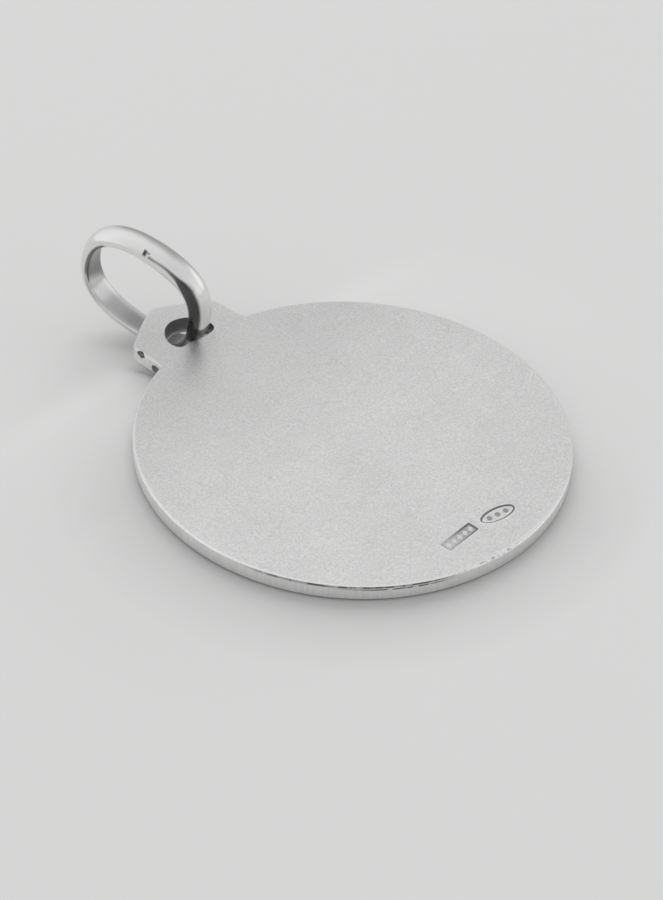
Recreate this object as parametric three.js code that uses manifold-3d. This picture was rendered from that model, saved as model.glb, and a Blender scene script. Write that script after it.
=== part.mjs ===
// A religious medal worn as a pendant: a struck silver disc with a pierced ear, and the oval jump ring that
// hangs in the ear. Millimetres, +Z up. It lies on its front on a level surface at z = 0, with its plain back
// up and the ear towards +Y. The wire of the ring passes under the ear, so the ear end lies a little higher.
import * as THREE from "three";
import { mergeVertices } from "three/addons/utils/BufferGeometryUtils.js";
import Module from "manifold-3d";

// The disc
const DISC_DIAMETER = 22;
const THICKNESS = 0.9;
const EDGE_ROUND = 0.14;
const EDGE_STEPS = 2;
const DISC_STEPS = 120;
const MEDAL_TILT_DEG = 3.08;

// The ear: straight flanks, round shoulders and a low point, with a round-cornered hole. Rises are measured
// from the edge of the disc.
const EAR_HALF_WIDTH = 3.03;
const EAR_FOOT_RISE = 0.15;
const EAR_SHOULDER_RISE = 1.4;
const EAR_SLOPE_INSET = 0.53;
const EAR_SLOPE_RISE = 2.14;
const EAR_TIP_RISE = 3.5;
const EAR_FOOT_FLARE = 0.16;
const HOLE_HALF_WIDTH = 1.47;
const HOLE_BOTTOM_RISE = -0.28;
const HOLE_TOP_RISE = 2.02;
const CURVE_STEPS = 8;

// Two small pits in the left flank: one in its back edge, and one lower down beside the disc
const PIT_RADIUS = 0.27;
const PIT_LENGTH_RATIO = 1.35;
const PIT_STEPS = 12;
const PITS = [
  { outside: 0.03, rise: 1.16, z: 0.8 },
  { outside: 0.09, rise: 0, z: 0.52 },
];

// The front, which lies face down: a raised rim, a sunk field and a plain raised cross
const RIM_WIDTH = 1.1;
const FIELD_DEPTH = 0.16;
const CROSS_HEIGHT = 9.6;
const CROSS_SPAN = 6.4;
const CROSS_ARM_WIDTH = 1.3;
const CROSS_ARM_Y = 1.5;
const CROSS_RELIEF = 0.12;
const CROSS_EDGE = 0.05;

// Two small punch marks in the back, each set in from the edge across from the ear
const MARK_DEPTH = 0.05;
const BAR_MARK = { x: -2.24, setIn: 2.34, length: 2.0, height: 0.6, turnDeg: 0 };
const BAR_LOZENGES = 5;
const BAR_LOZENGE_SIZE = 0.3;
const OVAL_MARK = { x: 0.35, setIn: 2.05, length: 2.0, height: 0.8, turnDeg: -11.6 };
const OVAL_PIPS = 3;
const OVAL_PIP_DIAMETER = 0.32;
const OVAL_PIP_PITCH = 0.5;

// The jump ring: half axes of the middle line of its wire, how far that line is from an ellipse, and the
// wire's half-round section, flat on the inside. Both ends are twisted a little and lie slightly out of line.
const RING_HALF_LENGTH = 3.7425;
const RING_HALF_HEIGHT = 3.086;
const RING_SQUARENESS = 0.0349;
const RING_SQUARE_PHASE_DEG = 17.7;
const RING_UNEVENNESS = 0.0169;
const RING_UNEVEN_PHASE_DEG = 43.7;
const WIRE_WIDTH = 1.467;
const WIRE_THICKNESS = 0.711;
const WIRE_CORNER = 0.14;
const WIRE_DOME_SIDES = 14;
const RING_STEPS = 92;
const SEAM_DEG = 87;
const SEAM_GAP = 0.04;
const SEAM_STEP = 0.15;
const FIRST_TWIST_DEG = 23.3;
const FIRST_TWIST_LENGTH = 0.6;
const LAST_TWIST_DEG = 11.1;
const LAST_TWIST_LENGTH = 0.45;

// Where the ring lies, and how it is turned about +Z, leant sideways and pitched along the ear
const RING_CENTRE_X = -0.197;
const RING_CENTRE_RISE = 3.511;
const RING_TURN_DEG = 11.79;
const RING_LEAN_DEG = -5.3;
const RING_PITCH_DEG = 21.54;

const wasm = await Module();
wasm.setup();

// A closed geometry as a solid
function toSolid(geometry) {
  const g = geometry.index ? geometry.toNonIndexed() : geometry.clone();
  g.deleteAttribute("normal");
  g.deleteAttribute("uv");
  const merged = mergeVertices(g, 1e-5);
  return new wasm.Manifold(
    new wasm.Mesh({
      numProp: 3,
      vertProperties: new Float32Array(merged.attributes.position.array),
      triVerts: new Uint32Array(merged.index.array),
    }),
  );
}

// A solid as a flat shaded geometry
function toGeometry(solid) {
  const mesh = solid.getMesh();
  const g = new THREE.BufferGeometry();
  g.setAttribute("position", new THREE.BufferAttribute(new Float32Array(mesh.vertProperties), 3));
  g.setIndex(new THREE.BufferAttribute(new Uint32Array(mesh.triVerts), 1));
  const flat = g.toNonIndexed();
  flat.computeVertexNormals();
  return flat;
}

const discRadius = DISC_DIAMETER / 2;
const earFootY = discRadius + EAR_FOOT_RISE;
const earShoulderY = discRadius + EAR_SHOULDER_RISE;
const earSlopeX = EAR_HALF_WIDTH - EAR_SLOPE_INSET;
const earSlopeY = discRadius + EAR_SLOPE_RISE;
const earTipY = discRadius + EAR_TIP_RISE;
const holeBottomY = discRadius + HOLE_BOTTOM_RISE;
const holeTopY = discRadius + HOLE_TOP_RISE;

// The outline of the disc and its ear, counterclockwise from the foot of the right flank
function medalOutline() {
  const shape = new THREE.Shape();
  const footX = EAR_HALF_WIDTH + EAR_FOOT_FLARE;
  const footY = Math.sqrt(discRadius ** 2 - footX ** 2);
  const footAngle = Math.atan2(footY, footX);
  shape.moveTo(footX, footY);
  shape.quadraticCurveTo(EAR_HALF_WIDTH, footY + 0.1, EAR_HALF_WIDTH, earFootY);
  shape.lineTo(EAR_HALF_WIDTH - 0.03, earShoulderY);
  shape.quadraticCurveTo(EAR_HALF_WIDTH - 0.06, earSlopeY - 0.24, earSlopeX, earSlopeY);
  shape.quadraticCurveTo(1.52, earTipY - 0.68, 0.45, earTipY - 0.17);
  shape.quadraticCurveTo(0, earTipY + 0.13, -0.45, earTipY - 0.17);
  shape.quadraticCurveTo(-1.52, earTipY - 0.68, -earSlopeX, earSlopeY);
  shape.quadraticCurveTo(-EAR_HALF_WIDTH + 0.06, earSlopeY - 0.24, -EAR_HALF_WIDTH + 0.03, earShoulderY);
  shape.lineTo(-EAR_HALF_WIDTH, earFootY);
  shape.quadraticCurveTo(-EAR_HALF_WIDTH, footY + 0.1, -footX, footY);
  const points = shape.getPoints(CURVE_STEPS);
  const start = Math.PI - footAngle;
  const sweep = 2 * Math.PI - (start - footAngle);
  for (let i = 1; i < DISC_STEPS; i += 1) {
    const a = start + (sweep * i) / DISC_STEPS;
    points.push(new THREE.Vector2(discRadius * Math.cos(a), discRadius * Math.sin(a)));
  }
  return points;
}

// The hole in the ear, which follows the ear's own outline
function holeOutline() {
  const w = HOLE_HALF_WIDTH;
  const path = new THREE.Path();
  path.moveTo(0, holeTopY);
  path.quadraticCurveTo(-0.55, holeTopY - 0.02, -0.95, holeTopY - 0.42);
  path.quadraticCurveTo(-w + 0.05, holeTopY - 0.87, -w, holeBottomY + 0.88);
  path.quadraticCurveTo(-w - 0.03, holeBottomY + 0.04, -0.8, holeBottomY);
  path.lineTo(0.8, holeBottomY);
  path.quadraticCurveTo(w + 0.03, holeBottomY + 0.04, w, holeBottomY + 0.88);
  path.quadraticCurveTo(w - 0.05, holeTopY - 0.87, 0.95, holeTopY - 0.42);
  path.quadraticCurveTo(0.55, holeTopY - 0.02, 0, holeTopY);
  return path.getPoints(CURVE_STEPS);
}

// A plate of the outline with rounded edges, from z = 0 (front) to z = THICKNESS (back)
function blankGeometry() {
  const shape = new THREE.Shape(medalOutline());
  shape.holes.push(new THREE.Path(holeOutline()));
  const g = new THREE.ExtrudeGeometry(shape, {
    depth: THICKNESS - 2 * EDGE_ROUND,
    bevelEnabled: true,
    bevelThickness: EDGE_ROUND,
    bevelSize: EDGE_ROUND,
    bevelOffset: -EDGE_ROUND,
    bevelSegments: EDGE_STEPS,
  });
  g.translate(0, 0, EDGE_ROUND);
  return g;
}

// The sunk field: a shallow round pocket cut from the front
function fieldGeometry() {
  const r = discRadius - RIM_WIDTH;
  const profile = [
    new THREE.Vector2(0, -0.5),
    new THREE.Vector2(r + 0.1, -0.5),
    new THREE.Vector2(r + 0.1, 0),
    new THREE.Vector2(r, FIELD_DEPTH),
    new THREE.Vector2(0, FIELD_DEPTH),
  ];
  const g = new THREE.LatheGeometry(profile, 96);
  g.rotateX(Math.PI / 2);
  return g;
}

// The cross, which stands down from the field by its relief and is rooted in the plate
function crossGeometry() {
  const a = CROSS_ARM_WIDTH / 2;
  const s = CROSS_SPAN / 2;
  const top = CROSS_HEIGHT / 2;
  const y = CROSS_ARM_Y;
  const corners = [
    [a, -top],
    [a, y - a],
    [s, y - a],
    [s, y + a],
    [a, y + a],
    [a, top],
    [-a, top],
    [-a, y + a],
    [-s, y + a],
    [-s, y - a],
    [-a, y - a],
    [-a, -top],
  ];
  const shape = new THREE.Shape(corners.map(([cx, cy]) => new THREE.Vector2(cx, cy)));
  const root = 0.2;
  const g = new THREE.ExtrudeGeometry(shape, {
    depth: CROSS_RELIEF + root - 2 * CROSS_EDGE,
    bevelEnabled: true,
    bevelThickness: CROSS_EDGE,
    bevelSize: CROSS_EDGE,
    bevelOffset: -CROSS_EDGE,
    bevelSegments: 1,
  });
  g.translate(0, 0, FIELD_DEPTH - CROSS_RELIEF + CROSS_EDGE);
  return g;
}

// A straight-walled block of an outline, from the floor of a mark up through the back
function markBlock(points, mark) {
  const g = new THREE.ExtrudeGeometry(new THREE.Shape(points), {
    depth: MARK_DEPTH + 0.3,
    bevelEnabled: false,
  });
  g.translate(0, 0, THICKNESS - MARK_DEPTH);
  g.rotateZ(THREE.MathUtils.degToRad(mark.turnDeg));
  g.translate(mark.x, mark.setIn - discRadius, 0);
  return g;
}

function circlePoints(cx, cy, rx, ry, steps, startAngle = 0) {
  const points = [];
  for (let i = 0; i < steps; i += 1) {
    const t = startAngle + (2 * Math.PI * i) / steps;
    points.push(new THREE.Vector2(cx + rx * Math.cos(t), cy + ry * Math.sin(t)));
  }
  return points;
}

// The bar mark: a small sunk oblong in which a row of lozenges is left standing
function barMarkSolid() {
  const l = BAR_MARK.length / 2;
  const h = BAR_MARK.height / 2;
  const oblong = [
    new THREE.Vector2(-l, -h),
    new THREE.Vector2(l, -h),
    new THREE.Vector2(l, h),
    new THREE.Vector2(-l, h),
  ];
  let cut = toSolid(markBlock(oblong, BAR_MARK));
  const pitch = BAR_MARK.length / BAR_LOZENGES;
  for (let i = 0; i < BAR_LOZENGES; i += 1) {
    const x = (i - (BAR_LOZENGES - 1) / 2) * pitch;
    const lozenge = circlePoints(x, 0, BAR_LOZENGE_SIZE / 2, BAR_LOZENGE_SIZE * 0.62, 4);
    cut = cut.subtract(toSolid(markBlock(lozenge, BAR_MARK)));
  }
  return cut;
}

// The oval mark: a sunk oval in which a row of round pips is left standing
function ovalMarkSolid() {
  let cut = toSolid(markBlock(circlePoints(0, 0, OVAL_MARK.length / 2, OVAL_MARK.height / 2, 32), OVAL_MARK));
  for (let i = 0; i < OVAL_PIPS; i += 1) {
    const x = (i - (OVAL_PIPS - 1) / 2) * OVAL_PIP_PITCH;
    const pip = circlePoints(x, 0, OVAL_PIP_DIAMETER / 2, OVAL_PIP_DIAMETER / 2, 12);
    cut = cut.subtract(toSolid(markBlock(pip, OVAL_MARK)));
  }
  return cut;
}

function medalGeometry() {
  let medal = toSolid(blankGeometry());
  medal = medal.subtract(toSolid(fieldGeometry()));
  medal = medal.add(toSolid(crossGeometry()));
  PITS.forEach(({ outside, rise, z }) => {
    const ball = new THREE.SphereGeometry(PIT_RADIUS, PIT_STEPS, PIT_STEPS / 2);
    ball.scale(1, PIT_LENGTH_RATIO, 0.85);
    ball.translate(-EAR_HALF_WIDTH - outside, discRadius + rise, z);
    medal = medal.subtract(toSolid(ball));
  });
  medal = medal.subtract(barMarkSolid());
  medal = medal.subtract(ovalMarkSolid());
  return toGeometry(medal);
}

// The middle line of the ring's wire in its own plane, from one cut end round to the other
class RingLine extends THREE.Curve {
  constructor() {
    super();
    this.arcLengthDivisions = 720;
    this.gap = SEAM_GAP / RING_HALF_LENGTH;
  }

  getPoint(t, target = new THREE.Vector3()) {
    const seam = THREE.MathUtils.degToRad(SEAM_DEG);
    const a = seam + this.gap / 2 + t * (2 * Math.PI - this.gap);
    const square = Math.cos(4 * a + THREE.MathUtils.degToRad(RING_SQUARE_PHASE_DEG));
    const uneven = Math.cos(3 * a + THREE.MathUtils.degToRad(RING_UNEVEN_PHASE_DEG));
    const k = 1 - RING_SQUARENESS * square + RING_UNEVENNESS * uneven;
    return target.set(RING_HALF_LENGTH * k * Math.cos(a), RING_HALF_HEIGHT * k * Math.sin(a), 0);
  }
}

// The wire's section: x runs along the ring's axis and y away from its middle. It is half an ellipse that
// stands on a flat with rounded corners.
function wireSection() {
  const w = WIRE_WIDTH / 2;
  const flat = -WIRE_THICKNESS / 2;
  const spring = flat + WIRE_CORNER;
  const points = [];
  for (let i = 0; i <= WIRE_DOME_SIDES; i += 1) {
    const t = (Math.PI * i) / WIRE_DOME_SIDES;
    points.push(new THREE.Vector2(w * Math.cos(t), spring + (WIRE_THICKNESS - WIRE_CORNER) * Math.sin(t)));
  }
  const tuck = WIRE_CORNER * 0.3;
  points.push(new THREE.Vector2(-w + tuck, flat + tuck));
  points.push(new THREE.Vector2(-w + WIRE_CORNER, flat));
  points.push(new THREE.Vector2(w - WIRE_CORNER, flat));
  points.push(new THREE.Vector2(w - tuck, flat + tuck));
  return new THREE.Shape(points);
}

// A straight bar of the section, bent along the ring's line and twisted towards both ends
function ringGeometry() {
  const line = new RingLine();
  const axis = new THREE.Vector3(0, 0, 1);
  const middle = new THREE.Vector3();
  const tangent = new THREE.Vector3();
  const outward = new THREE.Vector3();
  const g = new THREE.ExtrudeGeometry(wireSection(), { depth: 1, steps: RING_STEPS, bevelEnabled: false });
  const position = g.getAttribute("position");
  for (let i = 0; i < position.count; i += 1) {
    const along = position.getX(i);
    const out = position.getY(i);
    const t = THREE.MathUtils.clamp(position.getZ(i), 0, 1);
    line.getPointAt(t, middle);
    line.getTangentAt(t, tangent);
    outward.crossVectors(tangent, axis);
    const first = FIRST_TWIST_DEG * Math.max(0, 1 - t / FIRST_TWIST_LENGTH);
    const last = LAST_TWIST_DEG * Math.max(0, 1 - (1 - t) / LAST_TWIST_LENGTH);
    const twist = THREE.MathUtils.degToRad(first + last);
    const c = Math.cos(twist);
    const s = Math.sin(twist);
    middle.addScaledVector(outward, out * c + along * s);
    middle.addScaledVector(axis, along * c - out * s - SEAM_STEP * (0.5 - t));
    position.setXYZ(i, middle.x, middle.y, middle.z);
  }
  g.computeVertexNormals();
  return g;
}

// Puts an object down until its lowest point is on the surface
function rest(object) {
  object.updateMatrixWorld(true);
  object.position.z -= new THREE.Box3().setFromObject(object, true).min.z;
  object.updateMatrixWorld(true);
}

const medalSilver = new THREE.MeshStandardMaterial({ color: 0xc9c9c7, roughness: 0.38, metalness: 1 });
const ringSilver = new THREE.MeshStandardMaterial({ color: 0xcfcfcd, roughness: 0.16, metalness: 1 });

const medal = new THREE.Mesh(medalGeometry(), medalSilver);
medal.name = "medal";
medal.rotation.x = THREE.MathUtils.degToRad(MEDAL_TILT_DEG);
rest(medal);

// Upright, the ring's long axis runs along +Y, its short axis along +Z and its own axis along +X.
const ring = new THREE.Mesh(ringGeometry(), ringSilver);
ring.name = "jump_ring";
const upright = new THREE.Matrix4().makeBasis(
  new THREE.Vector3(0, 1, 0),
  new THREE.Vector3(0, 0, 1),
  new THREE.Vector3(1, 0, 0),
);
const lean = new THREE.Matrix4().makeRotationFromEuler(
  new THREE.Euler(
    THREE.MathUtils.degToRad(RING_PITCH_DEG),
    THREE.MathUtils.degToRad(RING_LEAN_DEG),
    THREE.MathUtils.degToRad(RING_TURN_DEG),
    "ZYX",
  ),
);
ring.quaternion.setFromRotationMatrix(lean.multiply(upright));
ring.position.set(RING_CENTRE_X, discRadius + RING_CENTRE_RISE, 0);
rest(ring);

const group = new THREE.Group();
group.add(medal, ring);

// The origin is the middle of the bottom of the whole.
group.updateMatrixWorld(true);
const box = new THREE.Box3().setFromObject(group, true);
group.position.set(-(box.min.x + box.max.x) / 2, -(box.min.y + box.max.y) / 2, -box.min.z);

export default group;
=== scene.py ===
import math

import bmesh
import bpy
import numpy as np
from mathutils import Matrix, Vector
from mathutils.geometry import delaunay_2d_cdt


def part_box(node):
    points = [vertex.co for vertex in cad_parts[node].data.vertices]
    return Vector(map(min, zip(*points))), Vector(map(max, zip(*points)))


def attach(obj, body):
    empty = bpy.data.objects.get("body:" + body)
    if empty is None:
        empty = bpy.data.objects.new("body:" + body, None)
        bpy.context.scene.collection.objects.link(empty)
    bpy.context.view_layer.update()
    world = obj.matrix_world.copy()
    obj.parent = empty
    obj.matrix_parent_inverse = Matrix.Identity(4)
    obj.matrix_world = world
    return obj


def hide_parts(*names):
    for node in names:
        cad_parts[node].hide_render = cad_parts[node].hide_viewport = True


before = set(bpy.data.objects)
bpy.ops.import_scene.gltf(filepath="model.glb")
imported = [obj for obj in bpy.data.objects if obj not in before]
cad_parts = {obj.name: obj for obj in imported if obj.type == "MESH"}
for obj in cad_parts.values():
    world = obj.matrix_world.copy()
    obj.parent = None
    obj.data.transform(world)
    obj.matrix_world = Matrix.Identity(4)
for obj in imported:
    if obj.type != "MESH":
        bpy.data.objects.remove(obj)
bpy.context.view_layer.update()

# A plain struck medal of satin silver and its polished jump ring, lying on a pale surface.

MM = 0.001

# The medal, in its own frame: front at z = 0, back at z = THICKNESS, ear towards +Y
DISC_RADIUS = 11.0
THICKNESS = 0.9
FRONT_ROUND = 0.13
OUTLINE_POINTS = 1500
HOLE_POINTS = 220
MEDAL_TILT_DEG = 3.08
MEDAL_LOW_Y = -11.0249
PLACE_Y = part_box("medal")[0].y / MM - MEDAL_LOW_Y
MEDAL_PLACE = (0.0, PLACE_Y, 0.5835)

EAR_HALF_WIDTH = 3.03
EAR_FOOT_Y = 11.15
EAR_SHOULDER_Y = 12.4
EAR_SLOPE_X = 2.5
EAR_SLOPE_Y = 13.14
EAR_TIP_Y = 14.5
EAR_FOOT_FLARE = 0.16
HOLE_HALF_WIDTH = 1.47
HOLE_BOTTOM_Y = 10.72
HOLE_TOP_Y = 13.02

# Each pit: x, y, z and radius, before it is stretched
PITS = [(-3.04, 12.14, 0.78, 0.2), (-3.12, 10.98, 0.42, 0.26)]
PIT_STRETCH = (1.0, 1.35, 0.85)
PIT_SHADE_TO = 1.04

# Stretches of the disc's edge, by angle: a middle and a spread, or start, rise, end and fall
EDGE_FILED = (-1.58, 0.34)
EDGE_HIGHLIGHT = (-1.36, 0.26)
EDGE_LEFT = (math.pi, 0.34)
EDGE_UPPER_LEFT = (2.5, 0.5)
EDGE_SCRAPED = (-2.06, 0.14, -1.52, 0.16)
EDGE_BURR_REFLECTION = (-2.95, 0.25, -1.92, 0.2)
DOUBLE_BURR_REFLECTION_START = -2.55
DOUBLE_BURR_REFLECTION_RISE = 0.3
EAR_EDGE_FROM_Y = 10.55
FLANK_FROM_Y = 9.9
FLANK_TO_X = -2.2

RIM_WIDTH = 1.1
FIELD_DEPTH = 0.16
CROSS_HEIGHT = 9.6
CROSS_SPAN = 6.4
CROSS_ARM_WIDTH = 1.3
CROSS_ARM_Y = 1.5
CROSS_RELIEF = 0.12

MARK_DEPTH = 0.05
BAR_MARK = {
    "x": -2.18, "y": -8.66, "length": 2.1, "height": 0.6, "turn": 0.0,
    "floor": -0.5, "studs": 0.2, "uneven": 0.55,
}
OVAL_MARK = {
    "x": 0.35, "y": -8.95, "length": 2.0, "height": 0.8, "turn": -11.6,
    "floor": 0.1, "studs": -0.65, "uneven": 0.0,
}

# The jump ring
RING_CENTRE = (-0.197, 14.511 + PLACE_Y)
RING_TURN_DEG = 11.79
RING_LEAN_DEG = -5.3
RING_PITCH_DEG = 21.54
RING_STEPS = 520
WIRE_SIDES = 64
RING_HALF_LENGTH = 3.7425
RING_HALF_HEIGHT = 3.086
WIRE_WIDTH = 1.467
WIRE_THICKNESS = 0.711
WIRE_CORNER = 0.14
SEAM_REACH = 26
NOTCH_ANGLE = math.radians(46)
NOTCH_SPREAD = 0.3

# Painted darkening of the wire: a dark reflection along one flank and on the dome by the seam,
# shade in the seam's notch, and darker patches along its inside. Each knot is a station along the
# wire, out of 520, and a value there: how dark, or a place or half width round the section, out of
# 64
KNOT_STATIONS = 520.0
KNOT_SIDES = 64.0
FLANK_PLACE = ((-10, 7.6), (0, 7.2), (30, 7.5), (48, 8.6), (80, 10.0), (110, 10.7), (140, 11.5))
FLANK_HALF = (
    (-8, 0.9), (14, 0.8), (30, 1.1), (46, 1.9), (56, 3.8), (68, 5.1), (84, 5.6), (140, 5.4),
)
FLANK_SOFT = ((50, 0.7), (84, 1.3))
FLANK_DEPTH = (
    (-9, 0.0), (-6.5, 0.85), (14, 0.6), (30, 0.65), (50, 0.97), (100, 1.0), (150, 0.9), (152, 0.0),
)
LOWER_DEPTH = ((138, 0.0), (150, 0.8), (180, 0.95), (216, 0.95), (226, 0.0))
FAR_REFLECTION_DEPTH = ((-70, 0.0), (-50, 0.42), (25, 0.38), (45, 0.0))
INNER_END = 452.0
INNER_DEPTH = ((350, 0.7), (370, 0.76), (420, 0.86), (452, 0.82))
CORNER_DEPTH = ((312, 0.0), (334, 0.5), (356, 0.5), (372, 0.0))
FOOT_DEPTH = (
    (240, 0.5), (252, 0.68), (268, 0.66), (290, 0.5), (330, 0.36), (346, 0.26), (352, 0.0),
)


# Outlines


def bend(start, control, end, steps):
    """Points of a quadratic curve, without its first point."""
    out = []
    for i in range(1, steps + 1):
        t = i / steps
        out.append((
            (1 - t) ** 2 * start[0] + 2 * t * (1 - t) * control[0] + t * t * end[0],
            (1 - t) ** 2 * start[1] + 2 * t * (1 - t) * control[1] + t * t * end[1],
        ))
    return out


def even_loop(points, count):
    """The closed loop again, with its points at even distances."""
    p = np.array(points, dtype=float)
    closed = np.vstack([p, p[:1]])
    steps = np.hypot(*np.diff(closed, axis=0).T)
    length = np.concatenate([[0.0], np.cumsum(steps)])
    at = np.linspace(0.0, length[-1], count, endpoint=False)
    return np.column_stack([np.interp(at, length, closed[:, k]) for k in (0, 1)])


def medal_outline():
    w = EAR_HALF_WIDTH
    foot_x = w + EAR_FOOT_FLARE
    foot_y = math.sqrt(DISC_RADIUS ** 2 - foot_x ** 2)
    right = [(foot_x, foot_y)]
    right += bend(right[-1], (w, foot_y + 0.1), (w, EAR_FOOT_Y), 24)
    right.append((w - 0.03, EAR_SHOULDER_Y))
    right += bend(right[-1], (w - 0.06, EAR_SLOPE_Y - 0.24), (EAR_SLOPE_X, EAR_SLOPE_Y), 24)
    right += bend(right[-1], (1.52, 13.82), (0.45, EAR_TIP_Y - 0.17), 40)
    tip = bend(right[-1], (0, EAR_TIP_Y + 0.13), (-0.45, EAR_TIP_Y - 0.17), 30)
    left = [(-x, y) for x, y in reversed(right)]
    points = right + tip[:-1] + left
    foot_angle = math.atan2(foot_y, foot_x)
    start = math.pi - foot_angle
    sweep = 2 * math.pi - (start - foot_angle)
    for i in range(1, 1200):
        a = start + sweep * i / 1200
        points.append((DISC_RADIUS * math.cos(a), DISC_RADIUS * math.sin(a)))
    return even_loop(points, OUTLINE_POINTS)


def hole_outline():
    w = HOLE_HALF_WIDTH
    b = HOLE_BOTTOM_Y
    t = HOLE_TOP_Y
    left = [(0, t)]
    left += bend(left[-1], (-0.55, t - 0.02), (-0.95, t - 0.42), 30)
    left += bend(left[-1], (-w + 0.05, t - 0.87), (-w, b + 0.88), 30)
    left += bend(left[-1], (-w - 0.03, b + 0.04), (-0.8, b), 30)
    right = [(-x, y) for x, y in reversed(left)]
    return even_loop((left + right[:-1])[::-1], HOLE_POINTS)


def outward_normals(loop):
    """Unit normals of a counterclockwise loop, pointing away from its inside."""
    along = np.roll(loop, -2, axis=0) - np.roll(loop, 2, axis=0)
    along /= np.hypot(along[:, 0], along[:, 1])[:, None]
    return np.column_stack([along[:, 1], -along[:, 0]])


def oval_loop(rx, ry, count):
    t = np.linspace(0, 2 * math.pi, count, endpoint=False)
    return np.column_stack([rx * np.cos(t), ry * np.sin(t)])


def round_box(length, height, radius, steps=6):
    points = []
    for cx, cy, start in (
        (length / 2 - radius, -height / 2 + radius, -90),
        (length / 2 - radius, height / 2 - radius, 0),
        (-length / 2 + radius, height / 2 - radius, 90),
        (-length / 2 + radius, -height / 2 + radius, 180),
    ):
        for i in range(steps + 1):
            a = math.radians(start + 90 * i / steps)
            points.append((cx + radius * math.cos(a), cy + radius * math.sin(a)))
    return even_loop(points, 160)


def inside(points, loop):
    """Which of the points lie inside the closed loop."""
    x = points[:, 0][:, None]
    y = points[:, 1][:, None]
    x0, y0 = loop[:, 0], loop[:, 1]
    x1, y1 = np.roll(x0, -1), np.roll(y0, -1)
    crosses = (y0 > y) != (y1 > y)
    with np.errstate(divide="ignore", invalid="ignore"):
        at = (x1 - x0) * (y - y0) / (y1 - y0) + x0
    return (np.sum(crosses & (x < at), axis=1) % 2) == 1


# Mesh making


class Sheet:
    """Collects points and faces in millimetres, and for each point a value of wear and of painted
    light or shade.
    """

    def __init__(self):
        self.points = []
        self.wear_and_painted_light = []
        self.faces = []

    def add(self, points, wear_and_painted_light=0.0):
        first = len(self.points)
        for i, p in enumerate(points):
            self.points.append(tuple(float(c) for c in p))
            self.wear_and_painted_light.append(float(wear_and_painted_light[i]) if hasattr(wear_and_painted_light, "__len__") else float(wear_and_painted_light))
        return list(range(first, len(self.points)))

    def strip(self, lower, upper):
        """Faces between two loops of the same length; they face right of the way the loops run."""
        n = len(lower)
        for i in range(n):
            j = (i + 1) % n
            self.faces.append((lower[i], lower[j], upper[j], upper[i]))

    def fill(self, outer, holes, up, filler=None):
        """A flat region between loops that are already points of the sheet."""
        loops = [outer] + holes
        ids = []
        edges = []
        for loop in loops:
            base = len(ids)
            n = len(loop)
            ids += loop
            edges += [(base + i, base + (i + 1) % n) for i in range(n)]
        flat = np.array([self.points[i][:2] for i in ids])
        height = self.points[outer[0]][2]
        if filler is not None and len(filler):
            extra = self.add([(x, y, height) for x, y in filler])
            ids += extra
            flat = np.vstack([flat, filler])
        result = delaunay_2d_cdt([Vector(p) for p in flat], edges, [], 0, 1e-7)
        _, _, triangles, origins, _, _ = result
        where = np.array([tuple(v) for v in result[0]])
        tri = np.array([t for t in triangles if len(t) == 3])
        middle = where[tri].mean(axis=1)
        keep = inside(middle, flat[: len(outer)])
        start = len(outer)
        for loop in holes:
            keep &= ~inside(middle, flat[start: start + len(loop)])
            start += len(loop)
        for t in tri[keep]:
            face = [ids[origins[v][0]] for v in t]
            a, b, c = (where[v] for v in t)
            turn = (b[0] - a[0]) * (c[1] - a[1]) - (b[1] - a[1]) * (c[0] - a[0])
            if (turn > 0) != up:
                face.reverse()
            self.faces.append(tuple(face))

    def take(self, mesh, mark, height, wear_and_painted_light):
        """Adds a small made mesh, placed in the frame of a mark."""
        flat = turned(np.array([v.co[:2] for v in mesh.vertices]), mark)
        ids = self.add([(x, y, v.co.z + height) for (x, y), v in zip(flat, mesh.vertices)], wear_and_painted_light)
        self.faces += [tuple(ids[i] for i in face.vertices) for face in mesh.polygons]

    def mesh(self, name):
        mesh = bpy.data.meshes.new(name)
        mesh.from_pydata([tuple(c * MM for c in p) for p in self.points], [], self.faces)
        mesh.update()
        wear_and_painted_light = mesh.attributes.new("wear_and_painted_light", "FLOAT", "POINT")
        wear_and_painted_light.data.foreach_set("value", self.wear_and_painted_light)
        return mesh


def lift(loop, z):
    heights = z if hasattr(z, "__len__") else [z] * len(loop)
    return [(p[0], p[1], h) for p, h in zip(loop, heights)]


def waves(angle, seeds):
    """A smooth uneven value round a loop, between about -1 and 1."""
    total = np.zeros_like(angle)
    for k, (count, phase) in enumerate(seeds):
        total += np.sin(count * angle + phase) / (1 + 0.5 * k)
    return total / 2.2


def turned(loop, mark):
    a = math.radians(mark["turn"])
    turn = np.array([[math.cos(a), math.sin(a)], [-math.sin(a), math.cos(a)]])
    return loop @ turn + np.array([mark["x"], mark["y"]])


def eased(value):
    """0 below 0, 1 above 1 and smooth between."""
    t = np.clip(value, 0.0, 1.0)
    return t * t * (3 - 2 * t)


def hump(value, middle, spread):
    return np.exp(-((value - middle) / spread) ** 2)


def stretch(value, start, rise, end, fall):
    """1 between a soft start and a soft end, and 0 outside."""
    return eased((value - start) / rise) * eased((end - value) / fall)


def softened(values, reach):
    """Each value's mean with its neighbours, on a closed loop."""
    wide = np.concatenate([values[-reach:], values, values[:reach]])
    count = 2 * reach + 1
    return np.convolve(wide, np.ones(count) / count, "valid")


def broken_line(random, count, length):
    """Numbers from 0 to 1 around a loop, in runs about as long as given."""
    soft = softened(random.random(count), length)
    soft = (soft - soft.mean()) / soft.std()
    return eased((soft + 1.2) / 1.2)


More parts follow.
